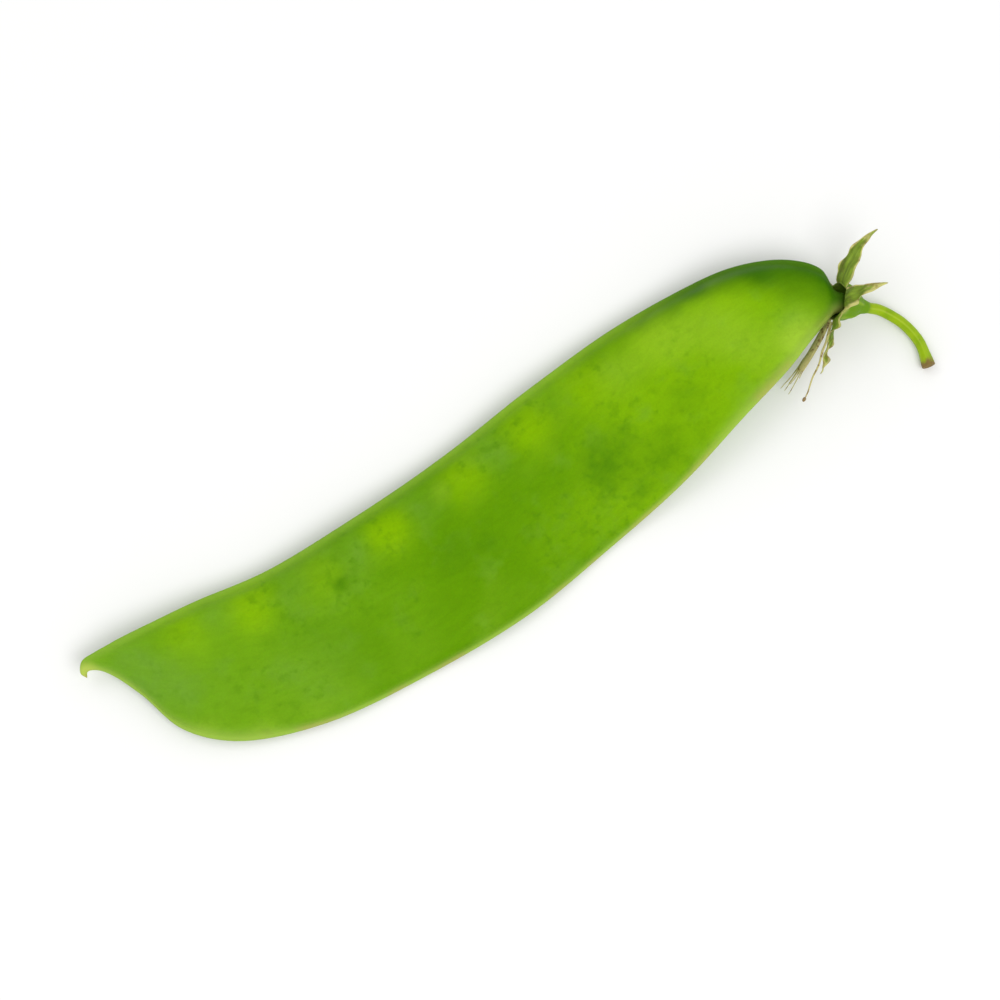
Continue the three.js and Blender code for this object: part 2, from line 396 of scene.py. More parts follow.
def half_thickness(plane, side, width, angle, ripple):
    """From the middle surface to the skin; a narrow section is never thicker than wide."""
    share = plane[..., 0] / POD_LENGTH
    from_dorsal, from_ventral = width * (1 + side) / 2, width * (1 - side) / 2
    wide = smooth(width, *WIDE_BLADE)
    swell = (
        VALVE_SWELL * (0.35 + 0.65 * smooth(share, *TIP_THICKENS))
        + SHOULDER_SWELL * smooth(share, *SHOULDER_BEGINS) * (1 - smooth(share, *SHOULDER_ENDS))
        - NECK_SLIMMING * smooth(share, *NECK_THINS)
    )
    slim = 1 / np.cbrt(swell**-3 + (width / 2) ** -3)
    rise = np.zeros_like(share)
    for x, y, strength, _ in pea_places():
        reach = np.hypot((plane[..., 0] - x) / PEA_STRETCH, plane[..., 1] - y) / PEA_SPREAD
        rise += PEA_SWELL * strength * np.exp(-0.9 * reach**2.3)
    rounding = np.abs(np.sin(angle))[None, :] ** 0.85
    uneven = RIPPLE * ripple * smooth(width, 4, 12)
    valve = rounding * (slim * (1 + 0.2 * side) + rise + uneven)
    # The wall dips beside each seam, and the seam itself is a round ridge.
    beside_dorsal = 1 - 0.9 * wide * bell(from_dorsal, 0.8)
    beside_ventral = 1 - 0.8 * wide * bell(from_ventral, 1.05)
    ridge = np.maximum(bead(from_dorsal, DORSAL_BEAD), bead(from_ventral, VENTRAL_BEAD)) * wide
    half = np.cbrt((valve * beside_dorsal * beside_ventral) ** 3 + ridge**3)
    return half * (0.75 + 0.25 * smooth(plane[..., 0], 1.0, 6.0))


# ---- pod: what the skin shows ----

DRIFT = 0.55  # how far the outlines of marks wander
DRIFT_SIZE = 2.6
GLOW_RADIUS = 2.5
MARK_FALL = 2.2  # how sharply each kind of spot falls off
BLOOM_SHEEN_FALL = 2.0
GLOW_FALL = 2.6
UNDER_MIRROR = 93.0  # mirrors the under side's marks end for end; the shifts move them
UNDER_MARK_SHIFT = 6.0
UNDER_BLOOM_SHEEN_SHIFT = (5.0, 1.0)
# Painted shade on the shoulder, where the ventral seam turns away from the light:
SHADE_WIDTH = 3.8  # of the dark band along the ventral seam of the shoulder
SHADE_WIDTH_ADDED = 4.3  # by the neck
SHADE_BEGINS = (0.65, 0.89)
SHADE_WIDENS = (0.87, 0.965)
RIM_WIDTH = 0.42  # of the pale rim along the dorsal seam
# the width added at the stem end is a painted highlight
RIM_HIGHLIGHT_AT_STEM = 0.5
RIM_ADDED_AT_TIP = 0.55
STEM_RIM_HIGHLIGHT = (0.7, 0.85)  # shares of the length over which its width changes
TIP_RIM = (0.13, 0.24)
TIP_CENTRE = -1.4  # across, of the dried beak
TIP_REACH = 3.0

# Soft marks in the skin of the upper side, one of the pale ones a painted highlight: place
# along and across, radius, and tone, from -1 for a dark patch to 1 for a pale one.
MARKS_AND_HIGHLIGHT = [
    (30.6, -4.6, 0.9, -0.9),
    (43.2, -7.4, 2.3, -0.45),
    (47.3, -7.8, 1.2, -0.5),
    (40.5, -13.0, 2.6, -0.25),
    (52.5, -11.2, 2.8, -0.3),
    (38.0, -8.6, 1.6, 0.3),
    (46.0, -11.0, 1.8, 0.2),
    (63.4, -4.7, 3.0, -0.72),
    (66.4, -3.0, 1.6, -0.2),
    (62.6, -6.9, 1.6, -0.25),
    (69.8, -6.2, 2.8, -0.36),
    (66.0, -9.6, 1.9, -0.34),
    (75.2, -7.4, 1.6, -0.25),
    (75.2, -2.3, 2.5, -0.5),
    (81.0, -3.7, 1.2, -0.3),
    (78.5, -7.0, 1.4, -0.25),
    (75.5, 4.2, 4.2, 0.42),
    (82.5, 2.6, 3.8, 0.3),
    (84.0, -2.4, 3.4, 0.32),
    # a painted highlight on the dorsal side of the stem end
    (90.2, -3.2, 2.7, 1.0),
    (68.6, 3.2, 2.8, 0.32),
    (61.0, 1.4, 2.0, 0.2),
    (59.4, -2.4, 1.9, 0.26),
    (54.6, -2.6, 1.9, 0.22),
    (45.2, -0.2, 1.9, 0.45),
    (17.0, -9.0, 3.0, 0.15),
    (9.0, -13.1, 2.4, 0.4),
    (15.5, -15.9, 2.4, 0.4),
    (16.8, -11.2, 2.4, -0.22),
    (22.0, -16.6, 2.2, 0.25),
    (43.0, -15.4, 3.2, 0.3),
    (51.0, -13.8, 3.2, 0.25),
    (35.0, -5.5, 4.5, -0.16),
    (47.0, -4.0, 5.0, -0.18),
    (33.0, -14.6, 3.6, -0.2),
    (70.5, -9.3, 3.4, -0.28),
]
# Greyish wax bloom together with painted sheen: place along and across, radius and strength.
BLOOM_AND_SHEEN = [
    (4.6, -2.6, 2.4, 0.9),
    (7.6, -6.2, 3.0, 0.8),
    (16.6, -1.6, 1.8, 0.5),
    (27.5, -1.6, 3.0, 0.5),
    (33.6, -2.2, 1.9, 0.6),
    (42.4, -0.8, 1.9, 0.4),
    (52.2, 1.6, 2.1, 0.5),
    (61.2, 4.3, 1.6, 0.25),
    (24.0, -12.5, 4.5, 0.4),
    (12.0, -9.5, 3.0, 0.25),
    (90.2, -1.0, 2.2, 0.5),
]


def spotted(x, y, spots, fall):
    """Sum of soft round spots, each given as x, y, radius and strength."""
    total = np.zeros_like(x)
    for spot_x, spot_y, radius, strength in spots:
        reach = np.hypot(x - spot_x, y - spot_y) / radius
        total += strength * np.exp(-0.7 * reach**fall)
    return total


def skin_fields(plane, share, side, width, upper, drift, along):
    """What the pod's material reads, by attribute name."""
    from_dorsal, from_ventral = width * (1 + side) / 2, width * (1 - side) / 2
    x, y = plane[..., 0] + DRIFT * drift[0], plane[..., 1] + DRIFT * drift[1]
    # The under side has a plainer set of marks, bloom and painted light: those of the upper side,
    # moved and faint.
    above = upper > 0
    mirrored_x, moved_y = UNDER_MIRROR - x, y + UNDER_MARK_SHIFT
    under_marks_and_highlight = 0.5 * spotted(mirrored_x, moved_y, MARKS_AND_HIGHLIGHT, MARK_FALL)
    bloom_sheen_x, bloom_sheen_y = x + UNDER_BLOOM_SHEEN_SHIFT[0], y + UNDER_BLOOM_SHEEN_SHIFT[1]
    under_bloom_and_sheen = 0.8 * spotted(bloom_sheen_x, bloom_sheen_y, BLOOM_AND_SHEEN, BLOOM_SHEEN_FALL)
    glows = [(pea_x, pea_y, GLOW_RADIUS, glow) for pea_x, pea_y, _, glow in pea_places()]

    # Painted shade where the blade turns down along the ventral seam, more widely at the neck.
    shade_width = SHADE_WIDTH + SHADE_WIDTH_ADDED * smooth(share, *SHADE_WIDENS)
    shoulder_shade = 1 - smooth(from_ventral + 0.8 * drift[0], 0.5, shade_width)
    shoulder_shade = shoulder_shade * smooth(share, *SHADE_BEGINS)
    # The pale rim of the dorsal seam is wider at both ends of the pod, at the stem end as a
    # painted highlight.
    rim_width = RIM_WIDTH + RIM_HIGHLIGHT_AT_STEM * smooth(share, *STEM_RIM_HIGHLIGHT)
    rim_width = rim_width + RIM_ADDED_AT_TIP * (1 - smooth(share, *TIP_RIM))
    from_tip = np.hypot(plane[..., 0], plane[..., 1] - TIP_CENTRE)
    return {
        "sheet": points_at(along[:, None], side * width / 2, upper * 5),
        "pea": spotted(x, y, glows, GLOW_FALL),
        "mark_and_highlight": np.where(above, spotted(x, y, MARKS_AND_HIGHLIGHT, MARK_FALL), under_marks_and_highlight),
        "bloom_and_sheen": np.where(above, spotted(x, y, BLOOM_AND_SHEEN, BLOOM_SHEEN_FALL), under_bloom_and_sheen),
        "rim_dorsal_and_highlight": bell(from_dorsal, rim_width),
        # paler ventral seam, also painted light over the shade of its rounded edge
        "rim_ventral_and_light": bell(from_ventral, 0.9) * (1 - 0.7 * shoulder_shade),
        "shoulder_shade": shoulder_shade,
        "share": share,
        "tip": 1 - smooth(from_tip, 0.0, TIP_REACH),
    }


def make_pod():
    station = pod_stations()
    angle = round_angles(POD_COLUMNS)
    near, far = spline(dorsal, station), spline(ventral, station)
    width = np.linalg.norm(far - near, axis=1)[:, None]
    side = np.cos(angle)[None, :]  # -1 at the dorsal seam, 1 at the ventral seam
    upper = -np.sign(np.sin(angle))[None, :] * np.ones_like(width)
    plane = near[:, None] + (far - near)[:, None] * ((1 + side) / 2)[..., None]
    share = plane[..., 0] / POD_LENGTH
    wide = smooth(width, *WIDE_BLADE)
    places = points_at(plane[..., 0], plane[..., 1], FACE_SHIFT * upper)

    ripple = grain(places, RIPPLE_SIZE, seed=8.4)
    half = half_thickness(plane, side, width, angle, ripple)
    middle = middle_height(share, side, station[:, None])
    seam_wave = SEAM_WAVE * np.sin(share * SEAM_WAVES + 0.6) * side * smooth(share, 0.1, 0.3)
    swell = SWELL * grain(places * (1, 1, 0), SWELL_SIZE, seed=3.1)
    middle += wide * (swell + seam_wave)
    height = above_floor(middle + upper * half, FLOOR_EASE)

    # The groove where the two valves meet, along the outer edge of the ventral seam.
    dent = SEAM_GROOVE * bell(half, GROOVE_WIDTH) * wide * (side > 0)
    plane = plane + unit(near - far)[:, None] * dent[..., None]

    midline_steps = np.linalg.norm(np.diff((near + far) / 2, axis=0), axis=1)
    along = np.concatenate([[0], np.cumsum(midline_steps)])
    drift = [grain(places, DRIFT_SIZE, seed) for seed in (21.0, 47.0)]
    rings = np.concatenate([plane, height[..., None]], axis=-1)
    fields = skin_fields(plane, share, side, width, upper, drift, along)
    return make_mesh("pod_skin", rings, fields)


# ---- material helpers ----

GLOSS_TINT = (0.9, 1.0, 0.15, 1.0)  # the wax of the pods reflects little blue
FRESH_GLOW = (0.5, 1.0, 0.1)  # how far red, green and blue travel in fresh and dry tissue
DRY_GLOW = (1.0, 0.9, 0.3)


class Look:
    """A material whose nodes are made and joined by short calls."""

    def __init__(self, name):
        self.material = bpy.data.materials.new(name)
        self.material.use_nodes = True
        self.tree = self.material.node_tree
        self.shader = self.tree.nodes["Principled BSDF"]

    def node(self, kind, inputs=None, **settings):
        made = self.tree.nodes.new(kind)
        for key, value in settings.items():
            setattr(made, key, value)
        for key, value in (inputs or {}).items():
            self.put(made.inputs[key], value)
        return made

    def put(self, socket, value):
        if isinstance(value, bpy.types.NodeSocket):
            self.tree.links.new(value, socket)
        elif hasattr(value, "__len__") and len(value) == 3 and socket.type == "RGBA":
            socket.default_value = (*value, 1.0)
        else:
            socket.default_value = value

    def set(self, **inputs):
        for key, value in inputs.items():
            self.put(self.shader.inputs[key.replace("_", " ")], value)

    def place(self):
        """Object coordinates in millimetres."""
        coordinate = self.node("ShaderNodeTexCoord").outputs["Object"]
        inputs = {0: coordinate, 1: (1 / MM,) * 3}
        return self.node("ShaderNodeVectorMath", inputs, operation="MULTIPLY").outputs[0]

    def field(self, name, vector=False):
        """What the mesh holds by that attribute name."""
        made = self.node("ShaderNodeAttribute", attribute_name=name)
        return made.outputs["Vector" if vector else "Fac"]

    def stretch(self, vector, scale, turn=0.0):
        inputs = {"Vector": vector, "Rotation": (0, 0, math.radians(turn)), "Scale": scale}
        return self.node("ShaderNodeMapping", inputs).outputs[0]

    def noise(self, vector, size, detail=2.0, rough=0.5, bend=0.0):
        """Noise with swells of about size, in the vector's own units."""
        inputs = {
            "Vector": vector,
            "Scale": 1 / size,
            "Detail": detail,
            "Roughness": rough,
            "Distortion": bend,
        }
        return self.node("ShaderNodeTexNoise", inputs).outputs["Fac"]

    def ramp(self, value, low, high, out_low=0.0, out_high=1.0):
        inputs = {
            "Value": value,
            "From Min": low,
            "From Max": high,
            "To Min": out_low,
            "To Max": out_high,
        }
        made = self.node("ShaderNodeMapRange", inputs, interpolation_type="SMOOTHSTEP")
        return made.outputs["Result"]

    def math(self, kind, a, b):
        return self.node("ShaderNodeMath", {0: a, 1: b}, operation=kind).outputs[0]

    def add(self, a, b):
        return self.math("ADD", a, b)

    def times(self, a, b):
        return self.math("MULTIPLY", a, b)

    def mix(self, factor, a, b, blend="MIX"):
        settings = {"data_type": "RGBA", "blend_type": blend, "clamp_factor": True}
        made = self.node("ShaderNodeMix", **settings)
        self.put(made.inputs[0], factor)
        self.put(made.inputs[6], a)
        self.put(made.inputs[7], b)
        return made.outputs[2]

    def shade(self, color, brightness):
        """The colour made darker or lighter by that factor."""
        channels = {0: brightness, 1: brightness, 2: brightness}
        grey = self.node("ShaderNodeCombineColor", channels).outputs[0]
        return self.mix(1.0, color, grey, "MULTIPLY")

    def glow(self, weight, depth, radius):
        """Light that goes in and comes out again, to a depth in millimetres."""
        self.set(Subsurface_Weight=weight, Subsurface_Scale=depth * MM, Subsurface_Radius=radius)

    def bump(self, height, distance, strength=1.0, normal=None):
        """Relief of that depth in millimetres."""
        inputs = {"Height": height, "Distance": distance * MM, "Strength": strength}
        if normal is not None:
            inputs["Normal"] = normal
        return self.node("ShaderNodeBump", inputs).outputs[0]


# ---- pod: material ----

TIP_GREEN = (0.134, 0.318, 0.005)
MIDDLE_GREEN = (0.102, 0.268, 0.001)
STEM_GREEN = (0.182, 0.385, 0.002)
PEA_GREEN = (0.212, 0.420, 0.001)
# pale marks, and the painted highlight
PALE_AND_HIGHLIGHT_GREEN = (0.300, 0.500, 0.030)
DARK_GREEN = (0.070, 0.210, 0.002)
# painted shade of the shoulder
SHOULDER_SHADE_GREEN = (0.020, 0.110, 0.001)
# wax bloom and painted sheen
BLOOM_SHEEN_GREEN = (0.140, 0.310, 0.025)
# pale seam colour, also painted light on both rims
RIM_AND_LIGHT_GREEN = (0.330, 0.480, 0.075)
RIM_TAN = (0.400, 0.400, 0.110)
TIP_YELLOW = (0.430, 0.520, 0.090)
TIP_BROWN = (0.360, 0.260, 0.090)

# Sizes of the noises in the skin.
BROAD_SIZE = 11.0
CROWD_SIZE = 7.5
DRIED_SIZE = 5.0
CLOUD_SIZE = 3.6
MOTTLE_SIZE = 1.5
FLECK_SIZE = 0.75
GRIT_SIZE = 0.22


def ground_color(look, place, cloud):
    """Greyish tip, deeper middle and yellower stem end, with the bloom and painted sheen over
    them.
    """
    drift = look.ramp(look.noise(place, BROAD_SIZE, 2.0), 0.3, 0.7, -0.07, 0.07)
    share = look.add(look.field("share"), drift)
    color = look.mix(look.ramp(share, 0.24, 0.38), TIP_GREEN, MIDDLE_GREEN)
    color = look.mix(look.ramp(share, 0.52, 0.84), color, STEM_GREEN)
    veil = look.times(look.field("bloom_and_sheen"), look.ramp(cloud, 0.3, 0.6, 0.55, 1.0))
    return look.mix(look.add(veil, look.ramp(cloud, 0.5, 0.75, 0.0, 0.3)), color, BLOOM_SHEEN_GREEN)


def marks_and_painted_light_color(look, color, mottle):
    """The peas showing through, the pale and dark marks with a painted highlight, and painted
    shoulder shade.
    """
    mark_and_highlight = look.field("mark_and_highlight")
    color = look.mix(look.times(look.field("pea"), 0.8), color, PEA_GREEN)
    # Pale marks, one of them a painted highlight, then the dark patches.
    color = look.mix(look.ramp(mark_and_highlight, 0.05, 1.0), color, PALE_AND_HIGHLIGHT_GREEN)
    dark_patch = look.times(look.ramp(mark_and_highlight, -0.05, -1.0), look.ramp(mottle, 0.3, 0.6, 0.7, 1.0))
    color = look.mix(dark_patch, color, DARK_GREEN)
    # painted shade over the shoulder
    return look.mix(look.times(look.field("shoulder_shade"), 0.95), color, SHOULDER_SHADE_GREEN)


def mottled_color(look, color, place, mottle, fleck):
    """Fine dark mottling, denser about the middle of the pod."""
    share = look.field("share")
    crowd = look.ramp(look.noise(place, CROWD_SIZE, 1.0), 0.4, 0.62, 0.25, 1.0)
    crowd = look.times(crowd, look.ramp(share, 0.64, 0.8, 1.0, 0.5))
    crowd = look.times(crowd, look.ramp(share, 0.12, 0.3, 0.6, 1.0))
    speckle = look.ramp(fleck, 0.53, 0.74, 0.0, 0.28)
    speckle = look.add(speckle, look.ramp(mottle, 0.5, 0.7, 0.0, 0.34))
    return look.mix(look.times(speckle, crowd), color, DARK_GREEN)


def vein_network(look):
    """A faint net of veins, slanting both ways across the valve."""
    sheet = look.field("sheet", vector=True)
    veins = look.noise(look.stretch(sheet, (0.42, 1.7, 1.0), 38.0), 1.0, 3.0, 0.6, 0.5)
    cross = look.noise(look.stretch(sheet, (0.5, 1.4, 1.0), -31.0), 1.0, 2.0, 0.5, 0.5)
    return look.add(look.times(veins, 0.6), look.times(cross, 0.4))


def rimmed_color(look, color, place):
    """Pale rims along both seams with painted light on them, tan where the lower one has dried,
    and the beak.
    """
    # The ventral rim is a paler seam, lightened further as painted light over the shade of its
    # rounded edge.
    color = look.mix(look.times(look.field("rim_ventral_and_light"), 0.4), color, RIM_AND_LIGHT_GREEN)
    dried = look.ramp(look.noise(place, DRIED_SIZE, 2.0), 0.45, 0.65)
    dried = look.times(dried, look.ramp(look.field("share"), 0.13, 0.2))
    rim_and_highlight = look.mix(dried, RIM_AND_LIGHT_GREEN, RIM_TAN)
    color = look.mix(look.times(look.field("rim_dorsal_and_highlight"), 0.75), color, rim_and_highlight)
    tip = look.field("tip")
    color = look.mix(look.ramp(tip, 0.1, 0.8, 0.0, 0.85), color, TIP_YELLOW)
    return look.mix(look.ramp(tip, 0.88, 1.0, 0.0, 0.6), color, TIP_BROWN)


def pod_look():
    look = Look("snow_pea_skin")
    place = look.place()
    cloud = look.noise(place, CLOUD_SIZE, 3.0, 0.55)
    mottle = look.noise(place, MOTTLE_SIZE, 2.0, 0.5)
    fleck = look.noise(place, FLECK_SIZE, 3.0, 0.62)
    grit = look.noise(place, GRIT_SIZE, 2.0, 0.6)
    network = vein_network(look)

    color = ground_color(look, place, cloud)
    color = marks_and_painted_light_color(look, color, mottle)
    color = mottled_color(look, color, place, mottle, fleck)
    brightness = look.ramp(network, 0.35, 0.65, -0.035, 0.035)
    brightness = look.add(brightness, look.ramp(grit, 0.3, 0.7, 0.965, 1.035))
    color = look.shade(color, brightness)
    color = rimmed_color(look, color, place)

    rough = look.ramp(cloud, 0.3, 0.7, 0.40, 0.50)
    rough = look.add(rough, look.ramp(grit, 0.3, 0.7, -0.03, 0.03))
    relief = look.bump(network, 0.10, 0.35)
    relief = look.bump(fleck, 0.07, 0.4, relief)
    relief = look.bump(grit, 0.02, 0.4, relief)
    look.set(Base_Color=color, Roughness=rough, Normal=relief)
    look.set(Specular_IOR_Level=0.09, Specular_Tint=GLOSS_TINT)
    look.glow(0.12, 1.5, FRESH_GLOW)
    return look.material


finish_piece(make_pod(), "pod", pod_look())

# ---- calyx: frame, as in the CAD ----

CALYX_HEIGHT = 4.2
CALYX_RADIUS = 2.25  # outside, at the rim
GAP = 0.32  # clearance between the solids of the CAD

calyx_axis = unit(np.array([-0.74, 0.45, 0.5]))  # from the stalk towards the pod
rim_centre = np.array([1.0037 * POD_LENGTH, -0.0225 * POD_WIDTH, 4.6])
foot_centre = rim_centre - calyx_axis * CALYX_HEIGHT
rim_up = unit(np.array([0.0, 0.0, 1.0]) - calyx_axis * calyx_axis[2])
rim_across = np.cross(rim_up, calyx_axis)

# around: place on the rim, in degrees from straight up, turning towards the ventral side.
# leave and reach: angles between the calyx axis and the blade at its base and its tip.
# sway turns the blade round the axis, twist turns it about its own midrib.
# clear and radius: how far past the rim, and how far from the axis, the blade starts.
SEPALS = {
    "sepal_dorsal_upper": dict(around=-66, length=8.4, leave=60, reach=78, sway=-6, twist=84),
    "sepal_dorsal_lower": dict(around=-152, length=7.4, leave=70, reach=62, sway=12, twist=-35),
    "sepal_top": dict(around=-4, length=6.6, leave=62, reach=158, sway=14, twist=18),
    "sepal_ventral": dict(around=62, length=7.8, leave=80, reach=136, sway=0, twist=70),
    "sepal_underside": dict(around=148, length=6.0, leave=79, reach=56, sway=6, twist=24),
}
SEPAL_START = dict(clear=0.5 * GAP, radius=0.93 * CALYX_RADIUS)
STAMEN_SHEATH = dict(
    around=-119, length=9.8, leave=84, reach=62, sway=4, twist=-40,
    clear=0.3, radius=1.1 * CALYX_RADIUS,
)
FREE_STAMEN = dict(
    around=-93, length=9.0, leave=82, reach=72, sway=-4, twist=0,
    clear=0.4, radius=1.25 * CALYX_RADIUS,
)


def outward(around):
    """Directions out from the calyx axis, at angles round it in radians."""
    around = np.asarray(around, float)[..., None]
    return rim_up * np.cos(around) - rim_across * np.sin(around)


def blade_frame(blade, share):
    """Centre, across and normal of a blade bent along an arc, at shares of its length."""
    start = math.radians(blade["leave"])
    bend = math.radians(blade["reach"] - blade["leave"])
    angle = (start + bend * share)[:, None]
    out = outward(np.radians(blade["around"] + blade["sway"] * share))
    arc = blade["length"] / bend
    in_axis = blade["clear"] + arc * (np.sin(angle) - math.sin(start))
    out_of_axis = blade["radius"] + arc * (math.cos(start) - np.cos(angle))
    centre = rim_centre + calyx_axis * in_axis + out * out_of_axis
    along = calyx_axis * np.cos(angle) + out * np.sin(angle)
    level = np.cross(np.broadcast_to(calyx_axis, out.shape), out)
    twist = np.radians(blade["twist"] * share)[:, None]
    across = level * np.cos(twist) + np.cross(along, level) * np.sin(twist)
    return centre, across, np.cross(across, along)


def both_faces(columns):
    """Once round a thin blade: place across it from -1 to 1, and face, 1 or -1."""
    place = np.sin(np.linspace(-0.5, 0.5, columns) * math.pi)
    face = np.ones(columns)
    return np.array([[*place, *place[::-1]]]), np.array([[*face, *-face]])


def rings_on(axes, width, lift):
    """Rings round a blade from its frame, and distances across it and above it."""
    centre, across, normal = [values[:, None] for values in axes]
    return centre + across * width[..., None] + normal * lift[..., None]


# ---- calyx: cup ----

CUP_ROWS = 110
CUP_COLUMNS = 150
CUP_INSIDE = 0.64  # share of the outline after which it is the inside
RIB_DEPTH = 0.13
LOBE_RISE = 0.3  # of the rim under each sepal
RIM_DIP = 0.22  # of the whole rim, so that it dips between the sepals
# Outline of the cup from its foot over the rim to the inside: [share of radius, of height].
CUP_OUTLINE = [
    [0.05, -0.02],
    [0.24, -0.02],
    [0.33, 0.03],
    [0.37, 0.11],
    [0.42, 0.20],
    [0.55, 0.32],
    [0.72, 0.46],
    [0.86, 0.62],
    [0.95, 0.80],
    [1.00, 0.97],
    [1.00, 1.02],
    [0.95, 1.035],
    [0.90, 1.01],
    [0.85, 0.86],
    [0.76, 0.72],
    [0.60, 0.62],
    [0.30, 0.585],
    [0.05, 0.58],
]


def make_cup():
    place = np.linspace(0, 1, CUP_ROWS)
    outline = spline(CUP_OUTLINE, place)
    radius, height = outline[:, :1] * CALYX_RADIUS, outline[:, 1:] * CALYX_HEIGHT
    up = height / CALYX_HEIGHT
    inside = place[:, None] > CUP_INSIDE
    around = round_angles(CUP_COLUMNS)[None, :]

    # Ten ribs: one to each sepal and one between.
    middles = np.radians([blade["around"] for blade in SEPALS.values()])
    turned = (around[..., None] - middles + math.pi) % (2 * math.pi) - math.pi
    nearest = np.min(np.abs(turned), axis=-1)
    ribs = 0.6 * np.cos(nearest * 5) + 0.4 * np.cos(nearest * 10 + 0.4)
    ribs = ribs * smooth(up, 0.1, 0.4) * (1 - 0.85 * smooth(up, 0.8, 1.0))
    ribs = ribs * np.where(inside, 0.3, 1.0)

    wall = points_at(2.2 * np.cos(around), 2.2 * np.sin(around), height)
    wave = grain(wall, 1.5, seed=5.5)
    wave = 0.05 * wave * smooth(up, 0.1, 0.4) * (1 - smooth(up, 0.7, 0.95))
    radius = radius * (1 + wave) + RIB_DEPTH * ribs
    lobes = LOBE_RISE * smooth(nearest, 0.62, 0.1) - RIM_DIP
    height = height + smooth(up, 0.75, 1.0) * lobes
    rings = foot_centre + calyx_axis * height[..., None] + outward(around) * radius[..., None]
    fields = {
        "rib": ribs,
        "up": np.broadcast_to(up, radius.shape),
        "inside": np.broadcast_to(inside, radius.shape),
    }
    return make_mesh("calyx_ribbed_cup", rings, fields)


# ---- calyx: sepals ----

SEPAL_ROWS = 64
SEPAL_COLUMNS = 26  # across one face
SEPAL_ROOT = -0.045  # where the blade starts, in the wall of the cup
SEPAL_THICKNESS = 0.26
SEPAL_BASE = 1.25  # half width where it leaves the rim
SEPAL_BELLY = 1.5
SEPAL_POINT = 0.045
WALL_RADIUS = 0.925  # middle of the cup's wall, as a share of the radius
WALL_DEPTH = 0.22
WALL_HALF = 0.05


def sepal_half_width(share):
    """Half width along the blade: broadest low down, and drawn out to a point."""
    narrowing = 1 - share
    belly = np.sin(math.pi * np.minimum(share * 1.7, 1.0))
    half = SEPAL_BASE + (SEPAL_BELLY - SEPAL_BASE) * belly
    return half * narrowing**0.72 * (0.35 + 0.65 * narrowing) ** 0.35 + SEPAL_POINT


def sepal_lift(side, width, half, share, length, face, seed):
    """Heights over the plain blade: keeled midrib, fine veins, wavy and crumpled skin."""
    skin = points_at(width, length, seed * 3.7)
    crumple = 0.42 * grain(skin, 1.7, seed) + 0.14 * grain(skin, 0.7, seed + 9)
    wave = np.sin(length * 2.3 + seed) * np.sign(side) + np.sin(length * 1.6 + 2 * seed)
    cupped = 0.13 * width**2 * (1 - share) + 0.5 * np.abs(side) ** 3 * share * half
    wavy = 0.27 * wave * np.abs(side) ** 2.5 * smooth(share, 0.05, 0.4)
    crumpled = crumple * smooth(share, 0.0, 0.3)
    veins = 0.022 * np.cos(side * 15) + 0.10 * bell(side, 0.13)
    veins = veins * (1 - 0.6 * share) * np.where(face > 0, 1.0, 0.6)
    thickness = SEPAL_THICKNESS * (1 - 0.72 * np.abs(side) ** 2) * (1 - 0.5 * share)
    return cupped + wavy + crumpled + veins + face * thickness / 2


def make_sepal(name, blade, seed):
    share = np.linspace(SEPAL_ROOT, 1.0, SEPAL_ROWS)
    axes = blade_frame({**blade, **SEPAL_START}, share)
    side, face = both_faces(SEPAL_COLUMNS)
    share = share[:, None]
    inner = np.clip(share, 0.0, 1.0)
    length = share * blade["length"]
    half = sepal_half_width(inner)
    width = side * half
    lift = sepal_lift(side, width, half, inner, length, face, seed)
    free = rings_on(axes, width, lift)
    # At its base the blade lies in the wall of the cup and follows its rim.
    around = np.radians(blade["around"]) + width / CALYX_RADIUS
    radius = WALL_RADIUS * CALYX_RADIUS + face * WALL_HALF * (1 - 0.8 * np.abs(side) ** 6)
    wall = rim_centre + calyx_axis * (length - WALL_DEPTH)[..., None]
    wall = wall + outward(around) * radius[..., None]
    blend = smooth(share, -0.02, 0.13)[..., None]
    rings = wall * (1 - blend) + free * blend
    rings[..., 2] = above_floor(rings[..., 2], 0.01)
    fields = {
        "edge": np.broadcast_to(np.abs(side), width.shape),
        "along": np.broadcast_to(inner, width.shape),
        "midrib": np.broadcast_to(bell(side, 0.12), width.shape),
        "sheet": points_at(width, length, seed),
    }
    return make_mesh(name + "_blade", rings, fields)


# ---- tubes: stalk and stamens ----


def path_frames(path):
    """Two directions square to a path, carried along it without twist."""
    tangents = unit(np.gradient(path, axis=0))
    first = np.cross(tangents[0], [0.0, 0.0, 1.0])
    firsts = []
    for tangent in tangents:
        first = unit(first - tangent * np.dot(first, tangent))
        firsts.append(first)
    firsts = np.array(firsts)
    return firsts, np.cross(tangents, firsts)


def tube_rings(path, radius, columns):
    """Rings round a path; radius holds one row of values, or one value, a ring."""
    first, second = path_frames(path)
    angle = round_angles(columns)[None, :, None]
    radius = np.asarray(radius, float).reshape(len(path), -1)[..., None]
    spokes = first[:, None] * np.cos(angle) + second[:, None] * np.sin(angle)
    return path[:, None] + spokes * radius


STALK_RADIUS = 0.62
STALK_ROWS = 150
STALK_COLUMNS = 48
STALK_ROOT = 0.9  # how far the stalk reaches up into the cup's foot
STALK_BEND = 1.6  # straight length below the cup
# The rest of the stalk's path to the cut end, measured from the foot of the cup.
STALK_PATH = [
    [2.9, -3.2, -1.32],
    [3.6, -5.9, -1.5],
    [3.3, -8.8, -1.42],
]
# The cut end: a rounded edge, then a dry face that is sunk a little in the middle, as
# [share of the last ring's radius, distance out from it].
STALK_CUT = [
    [0.97, 0.10],
    [0.86, 0.13],
    [0.66, 0.06],
    [0.45, -0.03],
    [0.22, -0.06],
    [0.05, -0.05],
]
CUT_SHARE = 1.02


